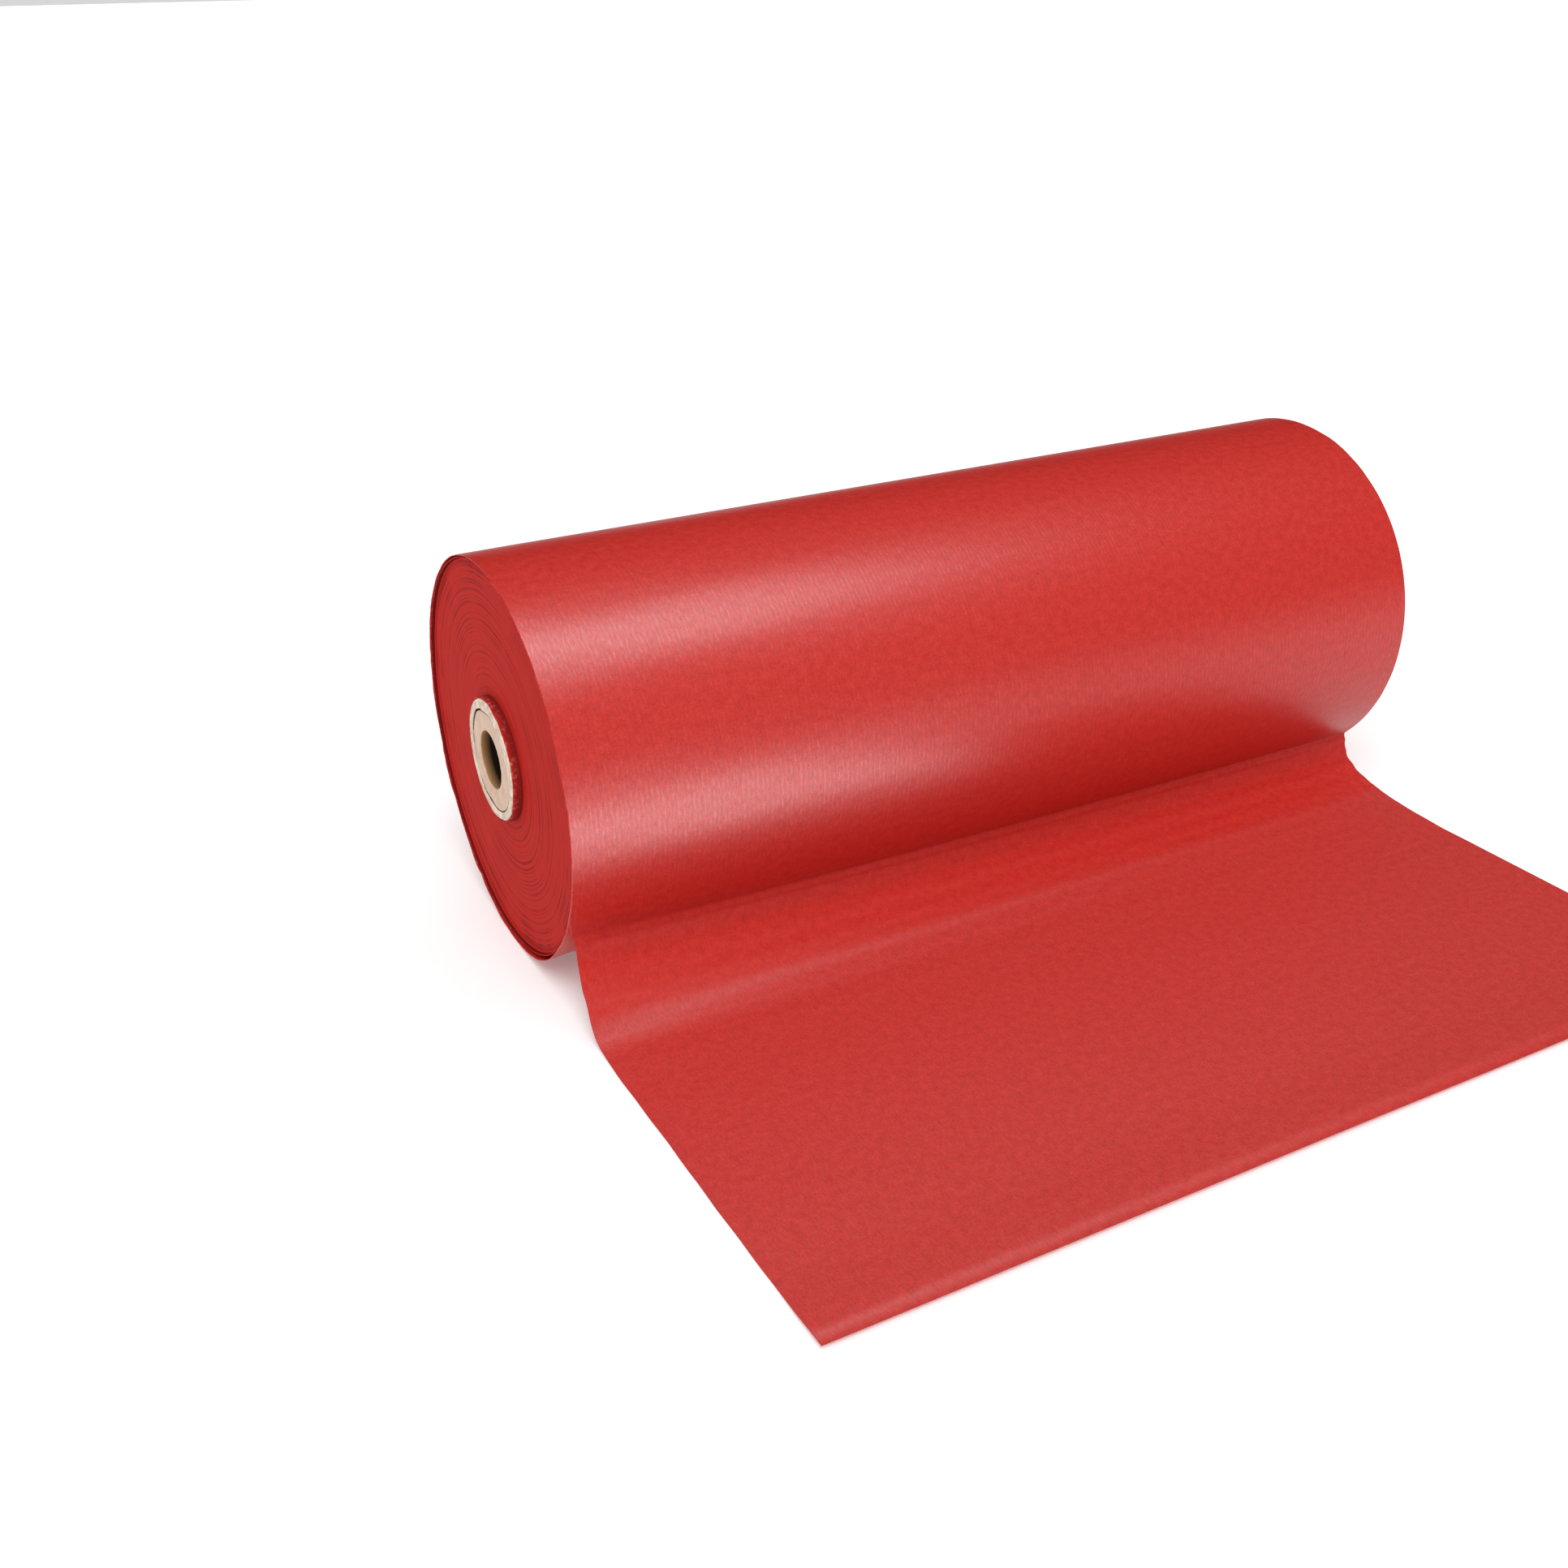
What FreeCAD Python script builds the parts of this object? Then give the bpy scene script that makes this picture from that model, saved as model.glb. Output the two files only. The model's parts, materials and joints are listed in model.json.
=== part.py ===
import FreeCAD, Part
import math
import os
import Sketcher

# A roll of ribbed coloured kraft paper on a board core, lying on the floor with the last stretch
# of its web led off over the front and laid flat.
# Frame: origin on the roll's axis halfway along the wound web, +X along the axis, -Y towards the
# free sheet, +Z up. Millimetres and degrees.

os.makedirs("parts", exist_ok=True)
doc = FreeCAD.newDocument("PaperRoll")

# ---------------------------------------------------------------- driving dimensions
DIMENSIONS = [
    ("web_width", 500.0, "width of the paper web"),
    ("roll_radius", 100.0, "outer face of the last turn"),
    ("sheet_gauge", 0.45, "modelled thickness of the last turn and the free sheet"),
    ("turn_gap", 0.3, "radial room between the turning roll and the last turn"),
    ("outer_band", 1.65, "radial thickness of the outer turns that run out of line"),
    ("outer_shift", 2.6, "how far the outer turns stand proud of the pack at the -X end"),
    ("core_inside_radius", 25.5, "bore of the board core"),
    ("core_outside_radius", 30.7, "outside of the board core"),
    ("core_overhang", 5.3, "core standing out of the pack at each end"),
    ("inner_band", 0.6, "radial thickness of the first turns round the core"),
    ("inner_shift", 4.8, "how far the first turns stand proud of the pack at the -X end"),
    ("tape_gauge", 0.25, "thickness of the start tape"),
    ("tape_length", 470.0, "length of the start tape along the core"),
    ("tape_sweep", 48.0, "angle of core that the start tape covers"),
    ("tape_end_room", 0.5, "room past each end of the tape in the first turns"),
    ("tape_side_room", 1.0, "angle of room past the tape's edge in the first turns"),
    ("tape_face_room", 0.05, "room over the tape's face in the first turns"),
    ("plug_radius", 25.3, "outside of a core plug"),
    ("plug_bore_radius", 14.4, "bar hole through a core plug"),
    ("plug_depth", 50.0, "length of a core plug"),
    ("plug_lead", 1.6, "lead-in chamfer on a plug's inner end"),
    ("plug_edge", 0.4, "broken edge on a plug's outer end"),
    ("leave_angle", 25.0, "where the sheet leaves the roll, below the axis on the front"),
    ("seam_sweep", 2.0, "angle left open in the last turn under the departing sheet"),
    ("slope_heading", 42.0, "flattest heading of the falling sheet, below horizontal"),
    ("knee_heading", 84.0, "heading of the sheet as it reaches the floor bend"),
    ("knee_reach", 112.5, "distance from the axis to the start of the floor bend"),
    ("knee_radius", 5.0, "floor bend, on the sheet's underside"),
    ("ramp_heading", 12.0, "heading of the sheet as it comes out of the floor bend"),
    ("ramp_reach", 147.0, "distance from the axis to where the sheet lies flat"),
    ("free_reach", 325.0, "distance from the axis to the web's cut edge"),
]

dims = doc.addObject("Spreadsheet::Sheet", "Dims")
for row, (alias, value, meaning) in enumerate(DIMENSIONS, start=1):
    dims.set(f"A{row}", meaning)
    dims.set(f"B{row}", str(value))
    dims.setAlias(f"B{row}", alias)
doc.recompute()


def amount(expression):
    """What an expression in the driving dimensions comes to now."""
    return float(dims.evalExpression(expression))


# ---------------------------------------------------------------- building blocks
ORIGIN_POINT = (-1, 1)
SKETCH_Y_AXIS = -2
CENTRE = 3
FULL_TURN = "360"
X_DIRECTION = FreeCAD.Vector(1, 0, 0)
Z_DIRECTION = FreeCAD.Vector(0, 0, 1)


def new_body(label):
    body = doc.addObject("PartDesign::Body", label)
    body.Label = label
    return body


def new_sketch(body, name, role):
    """A sketch on one of the body's own origin planes."""
    sketch = body.newObject("Sketcher::SketchObject", name)
    plane = next(f for f in body.Origin.OriginFeatures if f.Role == role)
    sketch.AttachmentSupport = [(plane, "")]
    sketch.MapMode = "FlatFace"
    return sketch


def bind(sketch, constraint, expression):
    """Add a dimension to a sketch and bind its value to the spreadsheet."""
    index = sketch.addConstraint(constraint)
    sketch.setExpression(f"Constraints[{index}]", expression)


def add_circle(sketch, radius):
    """A circle round the sketch's origin; its radius is an expression."""
    circle = Part.Circle(FreeCAD.Vector(), Z_DIRECTION, amount(radius))
    index = sketch.addGeometry(circle, False)
    sketch.addConstraint(Sketcher.Constraint("Coincident", index, CENTRE, *ORIGIN_POINT))
    bind(sketch, Sketcher.Constraint("Radius", index, amount(radius)), radius)


def add_profile(sketch, corners):
    """A closed polygon whose corners are (x, y) expressions, each held by its distances
    from the sketch's origin."""
    points = [FreeCAD.Vector(amount(x), amount(y), 0) for x, y in corners]
    lines = []
    for start, end in zip(points, points[1:] + points[:1]):
        lines.append(sketch.addGeometry(Part.LineSegment(start, end), False))
    for line, following in zip(lines, lines[1:] + lines[:1]):
        sketch.addConstraint(Sketcher.Constraint("Coincident", line, 2, following, 1))
    for line, point, (x, y) in zip(lines, points, corners):
        if point.x == 0:
            sketch.addConstraint(Sketcher.Constraint("PointOnObject", line, 1, SKETCH_Y_AXIS))
        else:
            across = Sketcher.Constraint("DistanceX", *ORIGIN_POINT, line, 1, point.x)
            bind(sketch, across, x)
        bind(sketch, Sketcher.Constraint("DistanceY", *ORIGIN_POINT, line, 1, point.y), y)


def section(start, end, inside, outside):
    """Corners of a rectangle along X, between two distances from the axis."""
    return [(start, inside), (end, inside), (end, outside), (start, outside)]


def ring_body(label, inside, outside, length, start):
    """A tube round the X axis from the plane x = start; every size is an expression."""
    body = new_body(label)
    sketch = new_sketch(body, label + "_section", "YZ_Plane")
    add_circle(sketch, inside)
    add_circle(sketch, outside)
    pad = body.newObject("PartDesign::Pad", label + "_pad")
    pad.Profile = sketch
    pad.setExpression("Length", length)
    body.setExpression("Placement.Base.x", start)
    body.Tip = pad
    return body


def turn_round_x(body, kind, corners, angle):
    """Turn a profile on the XY plane round the X axis, as a Revolution or a Groove."""
    name = f"{body.Label}_{kind.lower()}"
    sketch = new_sketch(body, name + "_section", "XY_Plane")
    add_profile(sketch, corners)
    feature = body.newObject("PartDesign::" + kind, name)
    feature.Profile = sketch
    feature.ReferenceAxis = (sketch, ["H_Axis"])
    feature.setExpression("Angle", angle)
    body.Tip = feature


# ---------------------------------------------------------------- core and plugs
core_length = "Dims.web_width + 2 * Dims.core_overhang"
core_end = "(Dims.web_width / 2 + Dims.core_overhang)"
ring_body("core_tube", "Dims.core_inside_radius", "Dims.core_outside_radius",
          core_length, "-" + core_end)

# A plug's outer face is at x = 0 of its own frame and it runs into the core along its own +X.
PLUG_PROFILE = [
    ("0", "Dims.plug_bore_radius"),
    ("Dims.plug_depth", "Dims.plug_bore_radius"),
    ("Dims.plug_depth", "Dims.plug_radius - Dims.plug_lead"),
    ("Dims.plug_depth - Dims.plug_lead", "Dims.plug_radius"),
    ("Dims.plug_edge", "Dims.plug_radius"),
    ("0", "Dims.plug_radius - Dims.plug_edge"),
]
for label, face, turn in [
    ("core_plug_left", "-" + core_end, 0),
    ("core_plug_right", core_end, 180),
]:
    plug = new_body(label)
    turn_round_x(plug, "Revolution", PLUG_PROFILE, FULL_TURN)
    plug.Placement = FreeCAD.Placement(FreeCAD.Vector(), FreeCAD.Rotation(Z_DIRECTION, turn))
    plug.setExpression("Placement.Base.x", face)

# ---------------------------------------------------------------- start tape and first turns
# The tape lies along the core under the web's first edge. The first turns run out at the -X end
# and leave a window for it.
tape_outside = "Dims.core_outside_radius + Dims.tape_gauge"
tape = new_body("start_tape")
turn_round_x(tape, "Revolution",
             section("0", "Dims.tape_length", "Dims.core_outside_radius", tape_outside),
             "Dims.tape_sweep")
tape.setExpression("Placement.Base.x", "-Dims.tape_length / 2")

pack_inside = "Dims.core_outside_radius + Dims.inner_band"
first_turns = ring_body("inner_turns", "Dims.core_outside_radius", pack_inside,
                        "Dims.web_width", "-Dims.web_width / 2 - Dims.inner_shift")
doc.recompute()
uncut_volume = first_turns.Shape.Volume
window_middle = "Dims.web_width / 2 + Dims.inner_shift"
window_half = "(Dims.tape_length / 2 + Dims.tape_end_room)"
turn_round_x(first_turns, "Groove",
             section(f"{window_middle} - {window_half}", f"{window_middle} + {window_half}",
                     "Dims.core_inside_radius", f"{tape_outside} + Dims.tape_face_room"),
             "Dims.tape_sweep + Dims.tape_side_room")
doc.recompute()
if first_turns.Shape.Volume >= uncut_volume:
    raise RuntimeError("the tape window cut nothing out of the first turns")

# ---------------------------------------------------------------- pack, outer and last turns
pack_outside = "Dims.roll_radius - Dims.sheet_gauge - Dims.turn_gap - Dims.outer_band"
outer_start = "-Dims.web_width / 2 - Dims.outer_shift"
ring_body("wound_paper", pack_inside, pack_outside, "Dims.web_width", "-Dims.web_width / 2")
ring_body("outer_turns", pack_outside, pack_outside + " + Dims.outer_band",
          "Dims.web_width", outer_start)

# The last turn starts just under the point where the free sheet leaves the roll, goes along the
# floor, up the back and over the top, and ends where that sheet begins.
last_turn = new_body("last_turn")
turn_round_x(last_turn, "Revolution",
             section("0", "Dims.web_width", "Dims.roll_radius - Dims.sheet_gauge",
                     "Dims.roll_radius"),
             "360 - Dims.seam_sweep")
last_turn.Placement = FreeCAD.Placement(FreeCAD.Vector(), FreeCAD.Rotation(X_DIRECTION, 180))
last_turn.setExpression("Placement.Rotation.Angle",
                        "180 + Dims.leave_angle + Dims.seam_sweep")
last_turn.setExpression("Placement.Base.x", outer_start)

# ---------------------------------------------------------------- the free sheet
# Its underside is one smooth line seen from the end: off the roll, out in an S, round the floor
# bend, down a slight ramp and flat to the cut edge. Directions along it are headings below
# horizontal, facing -Y, so 90 is straight down and more than 90 leans back under the roll.
# The sketch lies in the YZ plane, with its own x along Y and its own y along Z.
underside = doc.addObject("Sketcher::SketchObject", "free_sheet_line")
underside.Placement.Rotation = FreeCAD.Rotation(0.5, 0.5, 0.5, 0.5)


def along(heading):
    """Unit vector of a heading in the sketch."""
    angle = math.radians(180 + heading)
    return FreeCAD.Vector(math.cos(angle), math.sin(angle), 0)


def add_bend(start, heading, new_heading, radius):
    """Add an arc that leaves start on one heading and ends on another. Returns its index,
    the sketch's numbers for its first and last point, and where it ends."""
    side = 1 if new_heading < heading else -1
    centre = start + along(heading - 90) * (side * radius)
    finish = centre - along(new_heading - 90) * (side * radius)
    circle = Part.Circle(centre, Z_DIRECTION, radius)
    first, last = (finish, start) if side > 0 else (start, finish)
    arc = Part.ArcOfCircle(circle, circle.parameter(first), circle.parameter(last))
    index = underside.addGeometry(arc, False)
    return index, 2 if side > 0 else 1, 1 if side > 0 else 2, finish


# Each bend's headings in and out, its radius for the solver to start from and its angle. Only
# the floor bend's radius is a driving dimension: the others follow from where the sheet lies.
leave_heading = 90 + amount("Dims.leave_angle")
slope = amount("Dims.slope_heading")
knee_slope = amount("Dims.knee_heading")
ramp_slope = amount("Dims.ramp_heading")
BENDS = [
    (leave_heading, slope, 10.0, "90 + Dims.leave_angle - Dims.slope_heading"),
    (slope, knee_slope, 60.0, "Dims.knee_heading - Dims.slope_heading"),
    (knee_slope, ramp_slope, amount("Dims.knee_radius"), "Dims.knee_heading - Dims.ramp_heading"),
    (ramp_slope, 0.0, 150.0, "Dims.ramp_heading"),
]

place = along(amount("Dims.leave_angle")) * amount("Dims.roll_radius - Dims.sheet_gauge")
spoke = underside.addGeometry(Part.LineSegment(FreeCAD.Vector(), place), True)
arcs = []
for heading, new_heading, radius, _ in BENDS:
    index, first, last, place = add_bend(place, heading, new_heading, radius)
    arcs.append((index, first, last))
cut_edge = FreeCAD.Vector(-amount("Dims.free_reach"), place.y, 0)
flat = underside.addGeometry(Part.LineSegment(place, cut_edge), False)

departure, _, knee, ramp = arcs
underside.addConstraint(Sketcher.Constraint("Coincident", spoke, 1, *ORIGIN_POINT))
underside.addConstraint(Sketcher.Constraint("Coincident", spoke, 2, *departure[:2]))
underside.addConstraint(Sketcher.Constraint("PointOnObject", departure[0], CENTRE, spoke))
for (index, _, last), (following, first, _) in zip(arcs, arcs[1:]):
    underside.addConstraint(Sketcher.Constraint("Tangent", index, last, following, first))
underside.addConstraint(Sketcher.Constraint("Tangent", ramp[0], ramp[2], flat, 1))
for (index, _, _), (heading, new_heading, _, span) in zip(arcs, BENDS):
    turned = math.radians(abs(new_heading - heading))
    bind(underside, Sketcher.Constraint("Angle", index, turned), span)

spoke_length = "Dims.roll_radius - Dims.sheet_gauge"
spoke_angle = "Dims.leave_angle - 180"
bind(underside, Sketcher.Constraint("Distance", spoke, amount(spoke_length)), spoke_length)
bind(underside, Sketcher.Constraint("Angle", spoke, math.radians(amount(spoke_angle))),
     spoke_angle)
bind(underside, Sketcher.Constraint("Radius", knee[0], amount("Dims.knee_radius")),
     "Dims.knee_radius")
for point, kind, distance in [
    (knee[:2], "DistanceX", "Dims.knee_reach"),
    ((flat, 1), "DistanceX", "Dims.ramp_reach"),
    ((flat, 2), "DistanceX", "Dims.free_reach"),
    ((flat, 2), "DistanceY", "Dims.roll_radius"),
]:
    bind(underside, Sketcher.Constraint(kind, *point, *ORIGIN_POINT, amount(distance)), distance)

skin = doc.addObject("Part::Extrusion", "free_sheet_skin")
skin.Base = underside
skin.DirMode = "Custom"
skin.Dir = X_DIRECTION
skin.setExpression("LengthFwd", "Dims.web_width")
free_sheet = doc.addObject("Part::Offset", "free_sheet")
free_sheet.Label = "free_sheet"
free_sheet.Source = skin
free_sheet.Fill = True
free_sheet.setExpression("Value", "Dims.sheet_gauge")
free_sheet.setExpression("Placement.Base.x", outer_start)

# ---------------------------------------------------------------- check and write
SUBPARTS = [
    "core_tube",
    "core_plug_left",
    "core_plug_right",
    "start_tape",
    "inner_turns",
    "wound_paper",
    "outer_turns",
    "last_turn",
    "free_sheet",
]

doc.recompute()
for item in doc.Objects:
    if "Invalid" in item.State or "Error" in item.State:
        raise RuntimeError(f"{item.Label} failed: {item.State}")

for label in SUBPARTS:
    shape = doc.getObjectsByLabel(label)[0].Shape
    if shape.isNull() or not shape.isValid() or len(shape.Solids) != 1:
        raise RuntimeError(f"{label} is not one valid solid")
    solid = shape.Solids[0]
    solid.exportStep(f"parts/{label}.step")
    box = solid.BoundBox
    print(f"{label}: {solid.Volume / 1000:.1f} cm3, x {box.XMin:.1f} to {box.XMax:.1f}, "
          f"y {box.YMin:.1f} to {box.YMax:.1f}, z {box.ZMin:.1f} to {box.ZMax:.1f}")
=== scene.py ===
import json
import math

import bpy
import numpy as np
from mathutils import Matrix, Vector
from mathutils.geometry import interpolate_bezier


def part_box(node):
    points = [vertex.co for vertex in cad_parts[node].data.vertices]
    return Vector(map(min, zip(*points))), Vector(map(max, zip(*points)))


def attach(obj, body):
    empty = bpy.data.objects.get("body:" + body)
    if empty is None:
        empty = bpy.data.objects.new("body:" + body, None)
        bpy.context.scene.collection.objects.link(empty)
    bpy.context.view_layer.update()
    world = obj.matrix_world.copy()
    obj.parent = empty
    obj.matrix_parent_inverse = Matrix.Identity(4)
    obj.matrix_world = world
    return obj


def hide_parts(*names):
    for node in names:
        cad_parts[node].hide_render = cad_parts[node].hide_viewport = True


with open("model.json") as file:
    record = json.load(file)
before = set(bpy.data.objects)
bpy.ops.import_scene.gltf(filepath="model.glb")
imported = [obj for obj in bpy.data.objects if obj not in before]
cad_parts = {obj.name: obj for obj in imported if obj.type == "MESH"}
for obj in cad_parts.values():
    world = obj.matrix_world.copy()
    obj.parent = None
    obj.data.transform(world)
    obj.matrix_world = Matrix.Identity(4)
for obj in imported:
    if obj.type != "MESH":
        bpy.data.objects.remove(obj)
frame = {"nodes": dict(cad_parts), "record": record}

MM = 0.001
TURN = 2 * math.pi
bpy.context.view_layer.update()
scene = bpy.context.scene

# ---------------------------------------------------------------- sizes, mostly from the frame
# Angles on the roll are measured from its front (-Y), upwards, so the top is at 90 degrees.
turn_low, turn_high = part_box("last_turn")
sheet_low, sheet_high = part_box("free_sheet")
pack_low, pack_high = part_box("wound_paper")
outer_low, outer_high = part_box("outer_turns")
inner_low, inner_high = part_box("inner_turns")
core_low, core_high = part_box("core_tube")
mounts = {m["name"]: m for m in frame["record"]["mounts"]}

ROLL = turn_high.z
FLOOR = turn_low.z
WEB_LEFT, WEB_RIGHT = turn_low.x, turn_high.x
WEB_WIDTH = WEB_RIGHT - WEB_LEFT
BORE = mounts["crossbar_bore"]["dims"]["r_mm"] * MM
# The sheet's thickness here and in the CAD, and the angle at which the CAD's leaves the roll.
GAUGE, CAD_GAUGE = 0.3 * MM, 0.45 * MM
LEAVE = math.asin(sheet_high.z / (ROLL - CAD_GAUGE))
LEFT_END, RIGHT_END = -1, 1


def add_camera():
    """The main view, from above, of the roll's left end, its front and the free sheet."""
    eye = (-0.4661, -0.7129, 0.3455)
    yaw, pitch, roll = math.radians(27.53), math.radians(26.33), math.radians(-0.95)
    ahead = Vector((math.sin(yaw) * math.cos(pitch), math.cos(yaw) * math.cos(pitch),
                    -math.sin(pitch)))
    level = Vector((math.cos(yaw), -math.sin(yaw), 0))
    upright = level.cross(ahead)
    right = level * math.cos(roll) + upright * math.sin(roll)
    up = upright * math.cos(roll) - level * math.sin(roll)
    data = bpy.data.cameras.new("camera")
    data.lens = 38.17
    data.sensor_width = 36
    data.clip_start = 0.01
    camera = bpy.data.objects.new("camera", data)
    turned = Matrix((right, up, -ahead)).transposed().to_4x4()
    camera.matrix_world = Matrix.Translation(eye) @ turned
    scene.collection.objects.link(camera)
    scene.camera = camera


add_camera()


# ---------------------------------------------------------------- shader building
def add_node(tree, kind, inputs=(), **settings):
    """A shader node. inputs maps its sockets' names or numbers to values or to other sockets."""
    node = tree.nodes.new("ShaderNode" + kind)
    for name, value in settings.items():
        setattr(node, name, value)
    for name, value in dict(inputs).items():
        if isinstance(value, bpy.types.NodeSocket):
            tree.links.new(value, node.inputs[name])
        else:
            node.inputs[name].default_value = value
    return node


def maths(tree, operation, first, second=0.0):
    """The result of one operation on one or two numbers."""
    return add_node(tree, "Math", {0: first, 1: second}, operation=operation).outputs[0]


def multiplied(tree, place, factors):
    """A place in space, multiplied axis by axis."""
    node = add_node(tree, "VectorMath", {0: place, 1: factors}, operation="MULTIPLY")
    return node.outputs[0]


def object_place(tree):
    """The place in the object's own coordinates, which are the shared frame's at rest."""
    return add_node(tree, "TexCoord").outputs["Object"]


def colour(red, green, blue):
    """A linear colour from 8-bit screen values."""
    def linear(value):
        share = value / 255
        return share / 12.92 if share <= 0.04045 else ((share + 0.055) / 1.055) ** 2.4
    return (linear(red), linear(green), linear(blue), 1.0)


def noise(tree, place, grain, detail=2.0, roughness=0.5):
    """Noise from 0 to 1 whose features are about grain metres across."""
    node = add_node(tree, "TexNoise", {"Vector": place, "Scale": 1 / grain, "Detail": detail,
                                       "Roughness": roughness})
    return node.outputs["Fac"]


def spread(tree, value, low, high, new_low=0.0, new_high=1.0):
    """value, stretched from one range to another and held inside it."""
    node = add_node(tree, "MapRange", {"Value": value, "From Min": low, "From Max": high,
                                       "To Min": new_low, "To Max": new_high})
    return node.outputs["Result"]


def colour_node(tree, factor, first, second, blend="MIX"):
    """A mix of two colours; the colour sockets of the Mix node are its seventh and eighth."""
    node = tree.nodes.new("ShaderNodeMix")
    node.data_type = "RGBA"
    node.blend_type = blend
    for socket, value in zip((node.inputs[0], node.inputs[6], node.inputs[7]),
                             (factor, first, second)):
        if isinstance(value, bpy.types.NodeSocket):
            tree.links.new(value, socket)
        else:
            socket.default_value = value
    return node.outputs[2]


WHITE = (1, 1, 1, 1)


def tint(tree, value, low, high, dark):
    """A layer for darkened(): the dark colour where value is low, and none where it is high."""
    return colour_node(tree, spread(tree, value, low, high), (*dark, 1), WHITE)


def darkened(tree, base, *layers):
    """base, multiplied by each layer in turn."""
    for layer in layers:
        base = colour_node(tree, 1.0, base, layer, "MULTIPLY")
    return base


def start_material(name, roughness, specular):
    """A material with one Principled shader. Returns it, its tree and that shader."""
    material = bpy.data.materials.new(name)
    material.use_nodes = True
    shader = material.node_tree.nodes["Principled BSDF"]
    shader.inputs["Roughness"].default_value = roughness
    shader.inputs["Specular IOR Level"].default_value = specular
    return material, material.node_tree, shader


def bump(tree, height, depth, normal=None):
    """A bump of depth metres where height goes from 0 to 1."""
    inputs = {"Height": height, "Distance": depth, "Strength": 1.0}
    if normal is not None:
        inputs["Normal"] = normal
    return add_node(tree, "Bump", inputs).outputs["Normal"]


RIB_PITCH = 2.5 * MM


def rib_height(tree, across, patch, streak, taut):
    """The ribs' height, from 0 to 1: wavering and broken along the web, and flat where taut
    is 0."""
    phase = maths(tree, "MULTIPLY", across, TURN / RIB_PITCH)
    wave = maths(tree, "SINE", maths(tree, "ADD", phase, maths(tree, "MULTIPLY", patch, 1.5)))
    broken = maths(tree, "MULTIPLY", wave, spread(tree, streak, 0.4, 0.6, 0.0, 0.5))
    return maths(tree, "ADD", maths(tree, "MULTIPLY", broken, taut), 0.5)


def paper_gloss(tree, shader, slack, rib, grain, streak, fibre):
    """The paper's shine: most on the ribs' tops and where it is wound tight."""
    specks = maths(tree, "ADD", spread(tree, grain, 0.3, 0.7, 0.10, 0.40),
                   spread(tree, streak, 0.32, 0.68, 0.0, 0.30))
    shine = maths(tree, "ADD", maths(tree, "MULTIPLY", rib, 0.30), specks)
    tree.links.new(maths(tree, "MULTIPLY", shine, spread(tree, slack, 1, 2, 1, 0.45)),
                   shader.inputs["Specular IOR Level"])
    tight = spread(tree, fibre, 0.25, 0.75, 0.33, 0.42)
    loose = spread(tree, fibre, 0.3, 0.7, 0.50, 0.64)
    roughness = add_node(tree, "Mix", {0: slack, 2: tight, 3: loose}, data_type="FLOAT",
                         clamp_factor=True)
    tree.links.new(roughness.outputs[0], shader.inputs["Roughness"])


def paper_material(name, light, dark, rib_depth):
    """Ribbed kraft paper. Its web_place attribute is (across, along, slack): the ribs run along
    the web, and it shines most where it is wound tight (0), less where it lies on the floor (1)
    and least where it hangs (2)."""
    material, tree, shader = start_material(name, roughness=0.38, specular=0.55)
    spot = add_node(tree, "Attribute", attribute_name="web_place").outputs["Vector"]
    parts = add_node(tree, "SeparateXYZ", {0: spot})
    across, slack = parts.outputs["X"], parts.outputs["Z"]
    place = multiplied(tree, spot, (1.0, 1.0, 0.0))
    long_grain = multiplied(tree, spot, (1.0, 0.22, 0.0))
    grain = noise(tree, place, 0.45 * MM, 3.0, 0.7)
    fibre = noise(tree, place, 1.1 * MM, 3.0, 0.65)
    mottle = noise(tree, place, 4.5 * MM, 3.0, 0.6)
    streak = noise(tree, long_grain, 0.9 * MM, 2.0, 0.55)
    patch = noise(tree, long_grain, 6 * MM, 2.0, 0.6)
    cockle = noise(tree, place, 9 * MM, 2.0)

    taut = maths(tree, "MULTIPLY", spread(tree, slack, 0, 1, 1, 0.25),
                 spread(tree, mottle, 0.35, 0.62, 0.3, 1.0))
    rib = rib_height(tree, across, patch, streak, taut)

    tone = colour_node(tree, spread(tree, mottle, 0.3, 0.7), dark, light)
    fleck = tint(tree, fibre, 0.32, 0.68, (0.87, 0.60, 0.60))
    speck = tint(tree, grain, 0.32, 0.68, (0.93, 0.70, 0.70))
    tree.links.new(darkened(tree, tone, fleck, speck), shader.inputs["Base Color"])
    paper_gloss(tree, shader, slack, rib, grain, streak, fibre)
    ribs = bump(tree, rib, rib_depth, bump(tree, cockle, 0.06 * MM))
    tree.links.new(bump(tree, fibre, 0.05 * MM, ribs), shader.inputs["Normal"])
    return material


def around_axis(tree, sway):
    """The distance from the roll's axis, with a slow wander of sway metres."""
    spot = object_place(tree)
    flat = multiplied(tree, spot, (0.0, 1.0, 1.0))
    radius = add_node(tree, "VectorMath", {0: flat}, operation="LENGTH")
    wander = maths(tree, "MULTIPLY", noise(tree, spot, 45 * MM, 1.0), sway)
    return maths(tree, "ADD", radius.outputs["Value"], wander)


def ring_noise(tree, radius, grain):
    """Noise from 0 to 1 that changes only with the radius."""
    node = add_node(tree, "TexNoise", {"W": radius, "Scale": 1 / grain, "Detail": 2.0},
                    noise_dimensions="1D")
    return node.outputs["Fac"]


def recess_shade_amount(tree):
    """The third part of a lathed piece's web_place: how much painted shade a point takes, 1 down
    in a groove or gap, 0 on its surface.
    """
    place = add_node(tree, "Attribute", attribute_name="web_place").outputs["Vector"]
    return add_node(tree, "SeparateXYZ", {0: place}).outputs["Z"]


# Where slack turns leave a dark line on the pack's end, as shares of the roll's radius.
LOOSE_TURNS = (0.872, 0.925, 0.948, 0.957)


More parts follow.
